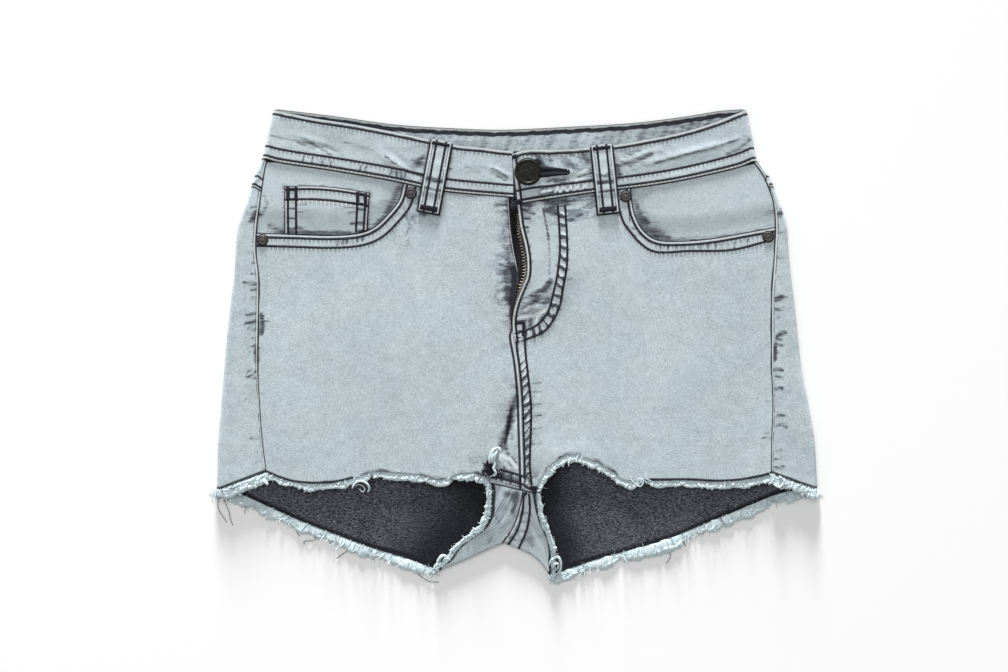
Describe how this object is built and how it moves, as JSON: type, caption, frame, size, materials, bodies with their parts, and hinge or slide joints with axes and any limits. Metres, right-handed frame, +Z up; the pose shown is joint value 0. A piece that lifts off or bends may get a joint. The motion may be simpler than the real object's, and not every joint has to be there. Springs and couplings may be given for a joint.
{
  "type": "denim shorts",
  "caption": "Cut-off stretch-denim shorts laid flat, front up, with waistband, zip fly, curved front pockets, coin pocket, belt loops and frayed hems.",
  "frame": {"origin": "centre of the garment's box on the surface that it lies on", "axes": "+X towards the wearer's left, +Y towards the waist, +Z up, out of the front"},
  "size_m": [0.445, 0.351, 0.0101],
  "materials": {
    "denim": "bleached blue-grey twill with charcoal marbling",
    "denim_inside": "charcoal wrong side",
    "fray": "pale frayed threads",
    "thread": "near-black navy topstitching",
    "zip_tape": "black woven tape",
    "gunmetal": "antique gunmetal",
    "brass": "antique brass zip teeth"
  },
  "bodies": {
    "root": {"back_panel_right": "denim", "back_panel_left": "denim", "back_yoke_right": "denim", "back_yoke_left": "denim", "front_panel_right": "denim", "front_panel_left": "denim", "pocket_facing_right": "denim", "pocket_facing_left": "denim", "coin_pocket": "denim", "waistband": "denim", "belt_loop_right": "denim", "belt_loop_left": "denim", "fly_shield": "denim_inside", "zip_tape": "zip_tape", "zip_slider": "gunmetal", "button": "gunmetal", "rivet_right_top": "gunmetal", "rivet_right_side": "gunmetal", "rivet_left_top": "gunmetal", "rivet_left_side": "gunmetal", "fringe_front_right": "fray", "fringe_front_left": "fray", "fringe_back_right": "fray", "fringe_back_left": "fray"}
  },
  "joints": []
}
